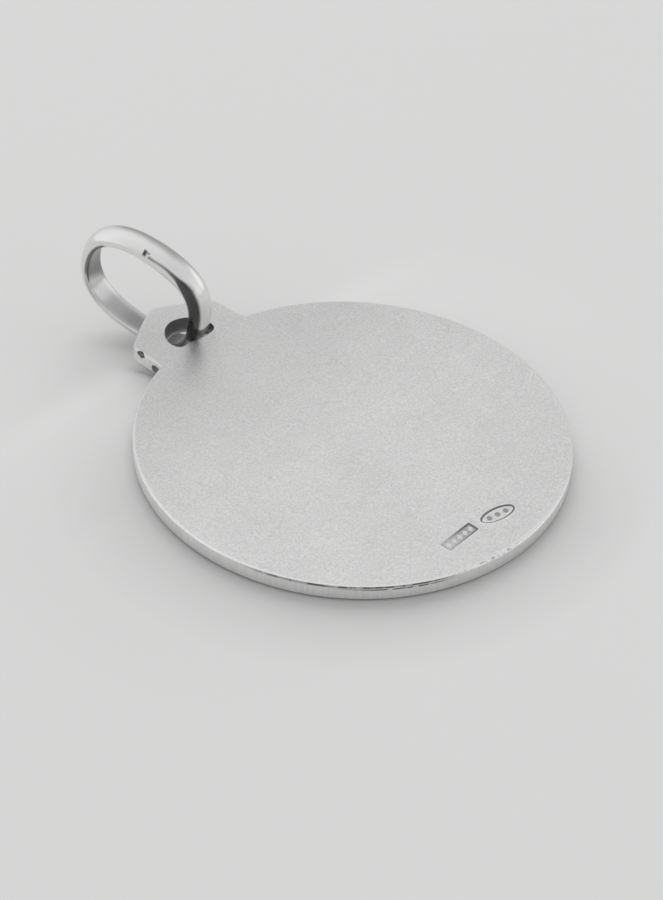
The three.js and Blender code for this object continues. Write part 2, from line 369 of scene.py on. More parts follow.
def round_edge(sheet, loop, normals, width, depth, z_flat, z_wall, steps, wear_and_painted_light, tint=None):
    """Loops of a rounded edge, from the wall at z_wall to the flat at z_flat."""
    loops = []
    for k in range(steps + 1):
        a = math.pi / 2 * k / steps
        inset = width * (1 - math.cos(a))
        height = z_wall + (z_flat - z_wall) * math.sin(a)
        ring = loop - normals * np.asarray(inset)[..., None]
        here = tint[k] if tint is not None and k < len(tint) else wear_and_painted_light * np.sin(a * 0.9)
        loops.append(sheet.add(lift(ring, height), here))
    return loops


def build_medal(lozenges, pips):
    sheet = Sheet()
    outline = medal_outline()
    normals = outward_normals(outline)
    angle = np.arctan2(outline[:, 1], outline[:, 0])

    # The back edge: filed wide at the lower right, soft at the left, narrow in front and on the ear
    lower_right = hump(angle, *EDGE_FILED)
    bright = hump(angle, *EDGE_HIGHLIGHT)
    scraped = stretch(angle, *EDGE_SCRAPED)
    left = np.minimum(hump(np.abs(angle), *EDGE_LEFT) + hump(angle, *EDGE_UPPER_LEFT), 1.0)
    filed = 0.06 + 0.15 * lower_right + 0.05 * left
    filed += 0.010 * waves(angle, [(5, 0.3), (11, 1.9), (23, 4.0), (61, 0.4)])
    on_ear = outline[:, 1] > EAR_EDGE_FROM_Y
    on_flank = (outline[:, 0] < FLANK_TO_X) & (outline[:, 1] > FLANK_FROM_Y)
    filed = softened(np.where(on_ear, 0.09, filed), 8)
    filed_depth = 0.05 + 0.3 * (filed - 0.05)

    # A broken burr under the edge in front with a painted dark reflection along it, and file
    # strokes across the wide part
    random = np.random.default_rng(7)
    burr_reflection_zone = np.where(on_ear, 0.0, stretch(angle, *EDGE_BURR_REFLECTION))
    strokes = [broken_line(random, len(outline), 1) for _ in range(3)]

    ones = np.ones(len(outline))
    # The front rounding: a thin line of painted shade at the foot of the wall, then a lighter worn
    # edge
    front = round_edge(sheet, outline, normals, FRONT_ROUND * ones, FRONT_ROUND, 0.0,
                       FRONT_ROUND * ones, 5, ones, [0.0 * ones, -0.9 * ones])
    wall_low = front[0]
    upper_dark = -burr_reflection_zone * (0.5 + 0.5 * broken_line(random, len(outline), 3))
    tint = [upper_dark, upper_dark, upper_dark * 0.6]
    for k in range(3, 7):
        # Polish from filing and rubbing on the back rounding, a painted highlight where bright is
        # high, and painted shade on the ear and its flank
        polish_and_highlight = (0.55 - 0.35 * left + 0.45 * bright) * math.sin(k * 0.23)
        polish_and_highlight = np.where(on_ear | on_flank, -0.06, polish_and_highlight)
        scratch = np.maximum((strokes[k // 2 - 1] - 0.88) * 2.4, -1.05)
        tint.append(polish_and_highlight + scraped * scratch)
    back = round_edge(sheet, outline, normals, filed, filed_depth, THICKNESS,
                      THICKNESS - filed_depth, 7, ones, tint)
    for lower, upper in zip(front[1:], front[:-1]):
        sheet.strip(lower, upper)
    previous = wall_low
    top = THICKNESS - filed_depth
    double = eased((angle - DOUBLE_BURR_REFLECTION_START) / DOUBLE_BURR_REFLECTION_RISE) * burr_reflection_zone
    lower_dark = -double * broken_line(random, len(outline), 4)
    # The wall's levels: near the top, the painted dark reflection of the burr, doubled in front
    wall = [
        (0.5 * (FRONT_ROUND + top), 0.0),
        (top - 0.225, 0.0),
        (top - 0.19, lower_dark),
        (top - 0.135, lower_dark * 0.9),
        (top - 0.1, 0.6 * (1 - double) * upper_dark),
        (top - 0.055, upper_dark),
    ]
    # Painted shade on the ear's left flank wall
    flank_shade = softened(np.where(on_flank, -0.12, 0.0), 6)
    for height, tone in wall:
        level = sheet.add(lift(outline, height), tone + flank_shade)
        sheet.strip(previous, level)
        previous = level
    sheet.strip(previous, back[0])
    for lower, upper in zip(back[:-1], back[1:]):
        sheet.strip(lower, upper)
    back_support = sheet.add(lift(outline - normals * (filed + 0.03)[:, None], THICKNESS))
    sheet.strip(back[-1], back_support)
    front_support = sheet.add(lift(outline - normals * (FRONT_ROUND + 0.03), 0.0))
    sheet.strip(front_support, front[-1])

    # The hole in the ear: painted shade inside, lighter on the right, and its back edge rubbed wide
    # by the ring on one side, with a painted highlight on the rubbed part
    hole = hole_outline()
    hole_normals = outward_normals(hole)
    hole_ones = np.ones(len(hole))
    hole_way = np.arctan2(hole[:, 1] - hole[:, 1].mean(), hole[:, 0])
    rubbed_and_highlight = hump(hole_way, -2.15, 0.42)
    right = eased((1.15 - np.abs(hole_way + 0.15)) / 0.5)
    # Painted shade on the hole's walls, lighter towards the right
    shade = -0.25 + 0.5 * right
    hole_front_tint = [shade, shade - 0.1, -0.8 * hole_ones, -0.5 * hole_ones]
    hole_front = round_edge(sheet, hole, -hole_normals, 0.12 * hole_ones, 0.12, 0.0,
                            0.12 * hole_ones, 4, hole_ones, hole_front_tint)
    hole_back_tint = [shade + 0.6 * rubbed_and_highlight, shade + 1.2 * rubbed_and_highlight, 0.5 * shade + 1.2 * rubbed_and_highlight]
    hole_back = round_edge(sheet, hole, -hole_normals, 0.06 + 0.16 * rubbed_and_highlight, 0.08, THICKNESS,
                           (THICKNESS - 0.08) * hole_ones, 5, hole_ones, hole_back_tint)
    hole_walls = hole_front[::-1] + hole_back
    for lower, upper in zip(hole_walls[:-1], hole_walls[1:]):
        sheet.strip(lower, upper)
    reach = (0.09 + 0.16 * rubbed_and_highlight)[:, None]
    hole_back_support = sheet.add(lift(hole + hole_normals * reach, THICKNESS))
    sheet.strip(hole_back[-1], hole_back_support)
    hole_front_support = sheet.add(lift(hole + hole_normals * 0.15, 0.0))
    sheet.strip(hole_front_support, hole_front[-1])

    # The punch marks: a small raised burr, sloped walls and a floor, the walls painted dark and the
    # burr light, more strongly towards one end of the bar
    mark_rims = []
    for mark, loop in (
        (BAR_MARK, round_box(BAR_MARK["length"], BAR_MARK["height"], 0.06)),
        (OVAL_MARK, oval_loop(OVAL_MARK["length"] / 2, OVAL_MARK["height"] / 2, 160)),
    ):
        out = outward_normals(loop)
        floor = mark["floor"]
        tint_along = 1.0 - mark["uneven"] * (1.0 - eased(loop[:, 0] / mark["length"] * 1.2 + 0.55))
        profile = [(0.14, 0.0, 0.0), (0.11, 0.004, 0.1), (0.07, 0.014, 0.7), (0.04, 0.012, 0.2),
                   (0.02, 0.0, -0.8), (-0.03, -MARK_DEPTH * 0.8, -1.0), (-0.055, -MARK_DEPTH, -1.0),
                   (-0.075, -MARK_DEPTH, floor)]
        rings = [
            sheet.add(lift(turned(loop + out * offset, mark), THICKNESS + height), wear_and_painted_light * tint_along)
            for offset, height, wear_and_painted_light in profile
        ]
        for outer, inner in zip(rings[:-1], rings[1:]):
            sheet.strip(outer, inner)
        sheet.fill(rings[-1], [], True)
        mark_rims.append(rings[0])
    for mark, studs in ((BAR_MARK, lozenges), (OVAL_MARK, pips)):
        sheet.take(studs, mark, THICKNESS - MARK_DEPTH - 0.004, mark["studs"])

    # Points spread evenly over the back, clear of its edges
    grid = np.array([
        (x * 0.55 + (y % 2) * 0.275, y * 0.48)
        for x in range(-21, 22)
        for y in range(-24, 31)
    ])
    back_loop = np.array([sheet.points[i][:2] for i in back_support])
    away = np.min(np.hypot(grid[:, None, 0] - back_loop[None, ::4, 0],
                           grid[:, None, 1] - back_loop[None, ::4, 1]), axis=1) > 0.2
    for ids in [hole_back_support] + mark_rims:
        loop = np.array([sheet.points[i][:2] for i in ids])
        away &= np.min(np.hypot(grid[:, None, 0] - loop[None, :, 0],
                                grid[:, None, 1] - loop[None, :, 1]), axis=1) > 0.15
        away &= ~inside(grid, loop)
    filler = grid[away & inside(grid, back_loop)]
    sheet.fill(back_support, [hole_back_support] + mark_rims, True, filler)

    # The front: rim, sunk field and cross
    rim_edge = oval_loop(DISC_RADIUS - RIM_WIDTH + 0.1, DISC_RADIUS - RIM_WIDTH + 0.1, 360)
    rim_normals = outward_normals(rim_edge)
    profile = [(0.03, 0.0, 0.0), (0.0, 0.003, 0.6), (-0.03, 0.02, 0.9), (-0.08, 0.11, 0.3),
               (-0.12, 0.15, -0.6), (-0.2, FIELD_DEPTH, -0.5)]
    rings = [sheet.add(lift(rim_edge + rim_normals * o, z), w) for o, z, w in profile]
    for outer, inner in zip(rings[:-1], rings[1:]):
        sheet.strip(inner, outer)
    sheet.fill(front_support, [hole_front_support, rings[0]], False)
    cross = even_loop(cross_outline(), 480)
    cross_normals = outward_normals(cross)
    top = FIELD_DEPTH - CROSS_RELIEF
    profile = [(0.06, FIELD_DEPTH, -0.8), (0.01, FIELD_DEPTH - 0.01, -0.9),
               (-0.02, top + 0.03, 0.4), (-0.06, top, 1.0), (-0.1, top, 0.0)]
    cross_rings = [
        sheet.add(lift(cross + cross_normals * o, z), w)
        for o, z, w in profile
    ]
    for outer, inner in zip(cross_rings[:-1], cross_rings[1:]):
        sheet.strip(inner, outer)
    sheet.fill(rings[-1], [cross_rings[0]], False)
    sheet.fill(cross_rings[-1], [], False)
    return sheet.mesh("medal_body")


def cross_outline():
    a = CROSS_ARM_WIDTH / 2
    s = CROSS_SPAN / 2
    top = CROSS_HEIGHT / 2
    y = CROSS_ARM_Y
    corners = [(a, -top), (a, y - a), (s, y - a), (s, y + a), (a, y + a), (a, top),
               (-a, top), (-a, y + a), (-s, y + a), (-s, y - a), (-a, y - a), (-a, -top)]
    points = []
    n = len(corners)
    cut = 0.1
    for i, corner in enumerate(corners):
        before = Vector(corners[i - 1])
        here = Vector(corner)
        after = Vector(corners[(i + 1) % n])
        start = here + (before - here).normalized() * cut
        end = here + (after - here).normalized() * cut
        points.append(tuple(start))
        points += bend(tuple(start), corner, tuple(end), 5)
    return points


# Geometry Nodes helpers


class Nodes:
    """Makes and joins the nodes of one tree."""

    def __init__(self, tree):
        self.tree = tree

    def node(self, kind, **values):
        made = self.tree.nodes.new(kind)
        for key, value in values.items():
            setattr(made, key, value)
        return made

    def feed(self, socket, value):
        if isinstance(value, bpy.types.NodeSocket):
            self.tree.links.new(value, socket)
        else:
            socket.default_value = value

    def math(self, operation, *values, clamp=False):
        made = self.node("ShaderNodeMath", operation=operation, use_clamp=clamp)
        for socket, value in zip(made.inputs, values):
            self.feed(socket, value)
        return made.outputs[0]


class Tree(Nodes):
    """A geometry node tree with named inputs."""

    def __init__(self, name):
        super().__init__(bpy.data.node_groups.new(name, "GeometryNodeTree"))
        self.inputs = {}

    def input(self, name, kind, default=None):
        socket = self.tree.interface.new_socket(name, in_out="INPUT", socket_type=kind)
        if default is not None:
            socket.default_value = default
        self.inputs[name] = socket.identifier

    def begin(self):
        self.tree.interface.new_socket(
            "Geometry", in_out="OUTPUT", socket_type="NodeSocketGeometry")
        self.source = self.tree.nodes.new("NodeGroupInput")
        self.sink = self.tree.nodes.new("NodeGroupOutput")

    def __getitem__(self, name):
        return self.source.outputs[name]

    def join(self, x, y, z):
        made = self.node("ShaderNodeCombineXYZ")
        for socket, value in zip(made.inputs, (x, y, z)):
            self.feed(socket, value)
        return made.outputs[0]


def run_tree(tree, name, values):
    """Evaluates the tree on an empty object and returns a plain mesh."""
    holder = bpy.data.objects.new(name, bpy.data.meshes.new(name))
    bpy.context.collection.objects.link(holder)
    modifier = holder.modifiers.new(tree.tree.name, "NODES")
    modifier.node_group = tree.tree
    for key, value in values.items():
        modifier[tree.inputs[key]] = value
    bpy.context.view_layer.update()
    evaluated = holder.evaluated_get(bpy.context.evaluated_depsgraph_get())
    mesh = bpy.data.meshes.new_from_object(evaluated)
    holder.modifiers.clear()
    bpy.data.objects.remove(holder)
    return mesh


def stud_row_tree():
    """A row of small studs with sloped sides."""
    tree = Tree("stud_row")
    tree.input("Count", "NodeSocketInt", 5)
    tree.input("Corners", "NodeSocketInt", 4)
    sizes = (("Pitch", 0.4), ("Foot", 0.17), ("Top", 0.13), ("Stretch", 1.24), ("Height", 0.05))
    for name, value in sizes:
        tree.input(name, "NodeSocketFloat", value)
    tree.input("Material", "NodeSocketMaterial")
    tree.begin()
    m = tree.math
    row = tree.node("GeometryNodeMeshLine")
    tree.feed(row.inputs["Count"], tree["Count"])
    half = m("MULTIPLY", m("MULTIPLY", m("SUBTRACT", tree["Count"], 1.0), tree["Pitch"]), -0.5)
    tree.feed(row.inputs["Start Location"], tree.join(half, 0.0, 0.0))
    tree.feed(row.inputs["Offset"], tree.join(tree["Pitch"], 0.0, 0.0))
    stud = tree.node("GeometryNodeMeshCone")
    tree.feed(stud.inputs["Vertices"], tree["Corners"])
    tree.feed(stud.inputs["Side Segments"], 3)
    tree.feed(stud.inputs["Radius Bottom"], tree["Foot"])
    tree.feed(stud.inputs["Radius Top"], tree["Top"])
    tree.feed(stud.inputs["Depth"], tree["Height"])
    spread = tree.node("GeometryNodeInstanceOnPoints")
    tree.feed(spread.inputs["Points"], row.outputs["Mesh"])
    tree.feed(spread.inputs["Instance"], stud.outputs["Mesh"])
    tree.feed(spread.inputs["Scale"], tree.join(1.0, tree["Stretch"], 1.0))
    real = tree.node("GeometryNodeRealizeInstances")
    tree.feed(real.inputs["Geometry"], spread.outputs["Instances"])
    finish = tree.node("GeometryNodeSetMaterial")
    tree.feed(finish.inputs["Geometry"], real.outputs["Geometry"])
    tree.feed(finish.inputs["Material"], tree["Material"])
    tree.feed(tree.sink.inputs[0], finish.outputs["Geometry"])
    return tree


def wire_ring_tree():
    """A bent wire: an uneven oval swept with a half-round section that twists towards both ends."""
    tree = Tree("wire_ring")
    sizes = (
        ("Half Length", 3.7), ("Half Height", 3.1), ("Squareness", 0.035), ("Square Phase", 0.0),
        ("Unevenness", 0.017), ("Uneven Phase", 0.0), ("Wire Width", 1.47),
        ("Wire Thickness", 0.71), ("Wire Corner", 0.14), ("Seam Angle", 1.5), ("Seam Gap", 0.04),
        ("Seam Step", 0.15), ("First Twist", 0.4), ("First Twist Length", 0.6),
        ("Last Twist", 0.2), ("Last Twist Length", 0.45),
    )
    for name, value in sizes:
        tree.input(name, "NodeSocketFloat", value)
    tree.input("Steps", "NodeSocketInt", 520)
    tree.input("Sides", "NodeSocketInt", 64)
    tree.input("Material", "NodeSocketMaterial")
    tree.begin()
    m = tree.math

    # The line of the wire, by angle
    line = tree.node("GeometryNodeCurvePrimitiveLine")
    dense = tree.node("GeometryNodeResampleCurve")
    tree.feed(dense.inputs["Curve"], line.outputs["Curve"])
    tree.feed(dense.inputs["Count"], 1441)
    part = tree.node("GeometryNodeSplineParameter").outputs["Factor"]
    gap = m("DIVIDE", tree["Seam Gap"], tree["Half Length"])
    span = m("SUBTRACT", 2 * math.pi, gap)
    start = m("ADD", tree["Seam Angle"], m("MULTIPLY", gap, 0.5))
    angle = m("ADD", start, m("MULTIPLY", part, span))
    square = m("COSINE", m("ADD", m("MULTIPLY", angle, 4.0), tree["Square Phase"]))
    uneven = m("COSINE", m("ADD", m("MULTIPLY", angle, 3.0), tree["Uneven Phase"]))
    k = m("ADD", m("SUBTRACT", 1.0, m("MULTIPLY", tree["Squareness"], square)),
          m("MULTIPLY", tree["Unevenness"], uneven))
    x = m("MULTIPLY", m("MULTIPLY", tree["Half Length"], k), m("COSINE", angle))
    y = m("MULTIPLY", m("MULTIPLY", tree["Half Height"], k), m("SINE", angle))
    shape = tree.node("GeometryNodeSetPosition")
    tree.feed(shape.inputs["Geometry"], dense.outputs["Curve"])
    tree.feed(shape.inputs["Position"], tree.join(x, y, 0.0))
    even = tree.node("GeometryNodeResampleCurve")
    tree.feed(even.inputs["Curve"], shape.outputs["Geometry"])
    tree.feed(even.inputs["Count"], tree["Steps"])

    # The two ends lie slightly out of line
    along = tree.node("GeometryNodeSplineParameter").outputs["Factor"]
    slip = m("MULTIPLY", tree["Seam Step"], m("SUBTRACT", along, 0.5))
    stepped = tree.node("GeometryNodeSetPosition")
    tree.feed(stepped.inputs["Geometry"], even.outputs["Curve"])
    tree.feed(stepped.inputs["Offset"], tree.join(0.0, 0.0, slip))
    upright = tree.node("GeometryNodeSetCurveNormal", mode="Z_UP")
    tree.feed(upright.inputs["Curve"], stepped.outputs["Geometry"])
    along2 = tree.node("GeometryNodeSplineParameter").outputs["Factor"]
    first = m("MAXIMUM", m("SUBTRACT", 1.0, m("DIVIDE", along2, tree["First Twist Length"])), 0.0)
    back = m("SUBTRACT", 1.0, along2)
    last = m("MAXIMUM", m("SUBTRACT", 1.0, m("DIVIDE", back, tree["Last Twist Length"])), 0.0)
    twist = m("ADD", m("MULTIPLY", tree["First Twist"], first),
              m("MULTIPLY", tree["Last Twist"], last))
    tilt = tree.node("GeometryNodeSetCurveTilt")
    tree.feed(tilt.inputs["Curve"], upright.outputs["Curve"])
    tree.feed(tilt.inputs["Tilt"], twist)

    # The section: half an ellipse that stands on a flat with rounded corners
    circle = tree.node("GeometryNodeCurvePrimitiveCircle")
    tree.feed(circle.inputs["Resolution"], tree["Sides"])
    tree.feed(circle.inputs["Radius"], 1.0)
    place = tree.node("ShaderNodeSeparateXYZ")
    tree.feed(place.inputs[0], tree.node("GeometryNodeInputPosition").outputs[0])
    px, py = place.outputs[0], place.outputs[1]
    half_width = m("MULTIPLY", tree["Wire Width"], 0.5)
    spring = m("SUBTRACT", tree["Wire Corner"], m("MULTIPLY", tree["Wire Thickness"], 0.5))
    dome_height = m("SUBTRACT", tree["Wire Thickness"], tree["Wire Corner"])
    dome = m("ADD", spring, m("MULTIPLY", px, dome_height))
    # Below the spring line the circle is squared off: along the flat, then round the corner
    depth = m("POWER", m("SUBTRACT", 1.0, m("POWER", m("ABSOLUTE", py), 6.0)), 1.0 / 2.2)
    floor_x = m("SUBTRACT", spring, m("MULTIPLY", tree["Wire Corner"], depth))
    is_flat = m("LESS_THAN", px, 0.0)
    radial = m("ADD", m("MULTIPLY", is_flat, floor_x),
               m("MULTIPLY", m("SUBTRACT", 1.0, is_flat), dome))
    section = tree.node("GeometryNodeSetPosition")
    tree.feed(section.inputs["Geometry"], circle.outputs["Curve"])
    tree.feed(section.inputs["Position"], tree.join(radial, m("MULTIPLY", py, half_width), 0.0))

    swept = tree.node("GeometryNodeCurveToMesh")
    tree.feed(swept.inputs["Curve"], tilt.outputs["Curve"])
    tree.feed(swept.inputs["Profile Curve"], section.outputs["Geometry"])
    tree.feed(swept.inputs["Fill Caps"], True)
    real = tree.node("GeometryNodeRealizeInstances")
    tree.feed(real.inputs["Geometry"], swept.outputs["Mesh"])
    finish = tree.node("GeometryNodeSetMaterial")
    tree.feed(finish.inputs["Geometry"], real.outputs["Geometry"])
    tree.feed(finish.inputs["Material"], tree["Material"])
    tree.feed(tree.sink.inputs[0], finish.outputs["Geometry"])
    return tree


# Materials


class Paint(Nodes):
    """Shader nodes, in a material or in a group."""

    def scaled(self, vector, scale):
        made = self.node("ShaderNodeVectorMath", operation="MULTIPLY")
        self.feed(made.inputs[0], vector)
        made.inputs[1].default_value = scale
        return made.outputs[0]

    def noise(self, vector, scale, detail=2.0, rough=0.5):
        made = self.node("ShaderNodeTexNoise")
        self.feed(made.inputs["Vector"], vector)
        made.inputs["Scale"].default_value = scale
        made.inputs["Detail"].default_value = detail
        made.inputs["Roughness"].default_value = rough
        return made.outputs["Fac"]

    def spread(self, value, low, high, to_low=0.0, to_high=1.0):
        made = self.node("ShaderNodeMapRange")
        self.feed(made.inputs["Value"], value)
        made.inputs["From Min"].default_value = low
        made.inputs["From Max"].default_value = high
        self.feed(made.inputs["To Min"], to_low)
        self.feed(made.inputs["To Max"], to_high)
        return made.outputs["Result"]

    def mix(self, factor, first, second):
        made = self.node("ShaderNodeMix", data_type="RGBA")
        self.feed(made.inputs["Factor"], factor)
        self.feed(made.inputs["A"], first)
        self.feed(made.inputs["B"], second)
        return made.outputs["Result"]


def new_group(name, inputs, outputs):
    group = bpy.data.node_groups.new(name, "ShaderNodeTree")
    for label, kind, default in inputs:
        socket = group.interface.new_socket(label, in_out="INPUT", socket_type=kind)
        if default is not None:
            socket.default_value = default
    for label, kind in outputs:
        group.interface.new_socket(label, in_out="OUTPUT", socket_type=kind)
    paint = Paint(group)
    return paint, paint.node("NodeGroupInput").outputs, paint.node("NodeGroupOutput").inputs


def satin_group():
    """Fine blasted grain with faint cloudy tone. Vector in millimetres."""
    paint, given, out = new_group(
        "satin_grain",
        [("Vector", "NodeSocketVector", None), ("Grain", "NodeSocketFloat", 1.0),
         ("Cloud", "NodeSocketFloat", 1.0)],
        [("Height", "NodeSocketFloat"), ("Tone", "NodeSocketFloat")],
    )
    fine = paint.noise(given["Vector"], 9.0, 3.0, 0.6)
    coarse = paint.noise(given["Vector"], 5.0, 2.0, 0.5)
    cloud = paint.noise(given["Vector"], 0.35, 3.0, 0.55)
    grain = paint.math("ADD", paint.math("MULTIPLY", fine, 0.7),
                       paint.math("MULTIPLY", coarse, 0.3))
    paint.feed(out["Height"], paint.math("MULTIPLY", grain, given["Grain"]))
    tone = paint.math("MULTIPLY", paint.math("SUBTRACT", cloud, 0.5), given["Cloud"])
    speck = paint.math("MULTIPLY", paint.math("SUBTRACT", fine, 0.5), given["Grain"])
    paint.feed(out["Tone"], paint.math("ADD", tone, speck))
    return paint.tree


def scratch_group():
    """Fine scratches in one direction, along the vector's x. Vector in millimetres."""
    paint, given, out = new_group(
        "fine_scratches",
        [("Vector", "NodeSocketVector", None), ("Amount", "NodeSocketFloat", 0.5)],
        [("Mask", "NodeSocketFloat")],
    )
    thin = paint.noise(paint.scaled(given["Vector"], (0.35, 9.0, 9.0)), 1.0, 4.0, 0.7)
    broken = paint.noise(given["Vector"], 0.9, 2.0, 0.5)
    mask = paint.spread(thin, 0.58, 0.68)
    mask = paint.math("MULTIPLY", mask, paint.spread(broken, 0.42, 0.6))
    paint.feed(out["Mask"], paint.math("MULTIPLY", mask, given["Amount"], clamp=True))
    return paint.tree


def use_group(paint, group, **values):
    made = paint.node("ShaderNodeGroup", node_tree=group)
    for key, value in values.items():
        paint.feed(made.inputs[key.replace("_", " ")], value)
    return made.outputs


def new_material(name, metallic, roughness):
    material = bpy.data.materials.new(name)
    material.use_nodes = True
    material.node_tree.nodes.clear()
    paint = Paint(material.node_tree)
    shader = paint.node("ShaderNodeBsdfPrincipled")
    shader.inputs["Metallic"].default_value = metallic
    shader.inputs["Roughness"].default_value = roughness
    out = paint.node("ShaderNodeOutputMaterial")
    paint.feed(out.inputs["Surface"], shader.outputs["BSDF"])
    place = paint.node("ShaderNodeTexCoord").outputs["Object"]
    return material, paint, shader, paint.scaled(place, (1000.0, 1000.0, 1000.0))


def grey(value):
    return (value, value, value * 0.995, 1.0)


def satin_silver(satin, scratches):
    material, paint, shader, place = new_material("satin_silver", 1.0, 0.42)
    grain = use_group(paint, satin, Vector=place, Grain=1.0, Cloud=0.2)
    marks = use_group(paint, scratches, Vector=place, Amount=0.6)["Mask"]
    wear_and_painted_light = paint.node("ShaderNodeAttribute", attribute_name="wear_and_painted_light").outputs["Fac"]
    # Above 0, wear and painted highlights make the metal lighter; below 0, painted shade and dark
    # reflections make it darker
    worn_and_highlight = paint.math("MAXIMUM", wear_and_painted_light, 0.0)
    dark = paint.math("MAXIMUM", paint.math("MULTIPLY", wear_and_painted_light, -1.0), 0.0)
    tone = paint.spread(grain["Tone"], -0.19, 0.19, 0.0, 1.0)
    base = paint.mix(tone, grey(0.72), grey(0.94))

    # Painted shade: the back slightly darker towards the ear
    spot = paint.node("ShaderNodeSeparateXYZ")
    paint.feed(spot.inputs[0], place)
    shade_to_ear = paint.spread(spot.outputs[1], PLACE_Y, PLACE_Y + 8.0, 0.0, 0.2)
    base = paint.mix(shade_to_ear, base, grey(0.35))
    base = paint.mix(worn_and_highlight, base, grey(0.93))

    # The side wall: painted lighter, with file strokes across it
    facing = paint.node("ShaderNodeSeparateXYZ")
    paint.feed(facing.inputs[0], paint.node("ShaderNodeTexCoord").outputs["Normal"])
    wall = paint.spread(paint.math("ABSOLUTE", facing.outputs[2]), 0.55, 0.25)
    strokes = paint.noise(paint.scaled(place, (1.0, 1.0, 0.08)), 7.0, 3.0, 0.7)
    strokes = paint.math("MULTIPLY", wall, paint.spread(strokes, 0.38, 0.62, 0.0, 0.16))
    base = paint.mix(paint.math("MULTIPLY", wall, 0.7), base, grey(0.98))
    base = paint.mix(strokes, base, grey(0.45))
    base = paint.mix(paint.math("MULTIPLY", dark, 0.9), base, grey(0.10))
    paint.feed(shader.inputs["Base Color"], base)
    rough = paint.spread(grain["Height"], 0.3, 0.7, 0.36, 0.46)
    rough = paint.math("SUBTRACT", rough, paint.math("MULTIPLY", worn_and_highlight, 0.2))
    rough = paint.math("SUBTRACT", rough, paint.math("MULTIPLY", marks, 0.06))
    paint.feed(shader.inputs["Roughness"], rough)
    bump = paint.node("ShaderNodeBump")
    bump.inputs["Strength"].default_value = 0.5
    bump.inputs["Distance"].default_value = 0.00001
    height = paint.math("SUBTRACT", grain["Height"], paint.math("MULTIPLY", marks, 0.4))
    paint.feed(bump.inputs["Height"], height)
    paint.feed(shader.inputs["Normal"], bump.outputs["Normal"])
    return material


def polished_silver(satin, scratches):
    material, paint, shader, place = new_material("polished_silver", 1.0, 0.2)
    grain = use_group(paint, satin, Vector=place, Grain=0.5, Cloud=0.8)
    marks = use_group(paint, scratches, Vector=place, Amount=0.8)["Mask"]
    tone = paint.spread(grain["Tone"], -0.4, 0.4, 0.0, 1.0)
    base = paint.mix(tone, grey(0.77), grey(0.85))
    wear_and_painted_light = paint.node("ShaderNodeAttribute", attribute_name="wear_and_painted_light").outputs["Fac"]
    dark = paint.math("MULTIPLY", wear_and_painted_light, -1.0)
    base = paint.mix(dark, base, grey(0.09))
    paint.feed(shader.inputs["Base Color"], base)
    rough = paint.spread(grain["Height"], 0.15, 0.35, 0.13, 0.22)
    rough = paint.math("ADD", rough, paint.math("MULTIPLY", dark, 0.08))
    rough = paint.math("ADD", rough, paint.math("MULTIPLY", marks, 0.1))
    paint.feed(shader.inputs["Roughness"], rough)
    bump = paint.node("ShaderNodeBump")
    bump.inputs["Strength"].default_value = 0.3
    bump.inputs["Distance"].default_value = 0.00001
    height = paint.math("SUBTRACT", grain["Height"], paint.math("MULTIPLY", marks, 0.5))
    paint.feed(bump.inputs["Height"], height)
    paint.feed(shader.inputs["Normal"], bump.outputs["Normal"])
    return material


PAPER_TONE = 0.65
SHADE_DEPTH = 0.28
SHADE_REACH = 4.5
DISC_MIDDLE = (0.0, PLACE_Y, 0.0)
TO_EYE = (-0.75, -0.66, 0.0)


def pale_paper():
    """Pale paper, with a painted shadow along the near edge of the disc."""
    material, paint, shader, place = new_material("pale_paper", 0.0, 0.9)
    cloud = paint.noise(place, 0.02, 2.0, 0.5)
    base = paint.mix(cloud, grey(PAPER_TONE), grey(PAPER_TONE + 0.015))
    near = paint.node("ShaderNodeVectorMath", operation="DISTANCE")
    paint.feed(near.inputs[0], place)
    near.inputs[1].default_value = DISC_MIDDLE
    front = paint.node("ShaderNodeVectorMath", operation="DOT_PRODUCT")
    paint.feed(front.inputs[0], place)
    front.inputs[1].default_value = TO_EYE
    beside = paint.spread(near.outputs["Value"], DISC_RADIUS, DISC_RADIUS + SHADE_REACH,
                          SHADE_DEPTH, 0.0)
    shade = paint.math("MULTIPLY", beside, paint.spread(front.outputs["Value"], 1.0, 8.0))
    base = paint.mix(shade, base, grey(0.3))
    paint.feed(shader.inputs["Base Color"], base)
    shader.inputs["Specular IOR Level"].default_value = 0.1
    return material


# The pieces


def as_piece(mesh, name, material, matrix):
    mesh.transform(matrix)
    mesh.materials.clear()
    mesh.materials.append(material)
    piece = bpy.data.objects.new(name, mesh)
    bpy.context.collection.objects.link(piece)
    return piece


def close_seam(mesh):
    """Draws the two ends of the wire together where they are soldered, but for a notch."""
    count = RING_STEPS * WIRE_SIDES
    p = np.array([v.co[:] for v in mesh.vertices])
    wire = p[:count].reshape(RING_STEPS, WIRE_SIDES, 3)
    first = wire[0].copy()
    last = wire[-1].copy()
    middle = (first + last) / 2
    side = np.arange(WIRE_SIDES) / WIRE_SIDES * 2 * math.pi
    from_notch = (side - NOTCH_ANGLE + math.pi) % (2 * math.pi) - math.pi
    keep = (1 - hump(from_notch, 0.0, NOTCH_SPREAD))[:, None]
    for k in range(SEAM_REACH):
        ease = (1 + math.cos(math.pi * k / SEAM_REACH)) / 2
        wire[k] += (middle - first) * keep * ease
        wire[-1 - k] += (middle - last) * keep * ease
    p[:count] = wire.reshape(-1, 3)
    mesh.vertices.foreach_set("co", p.ravel())
    mesh.update()


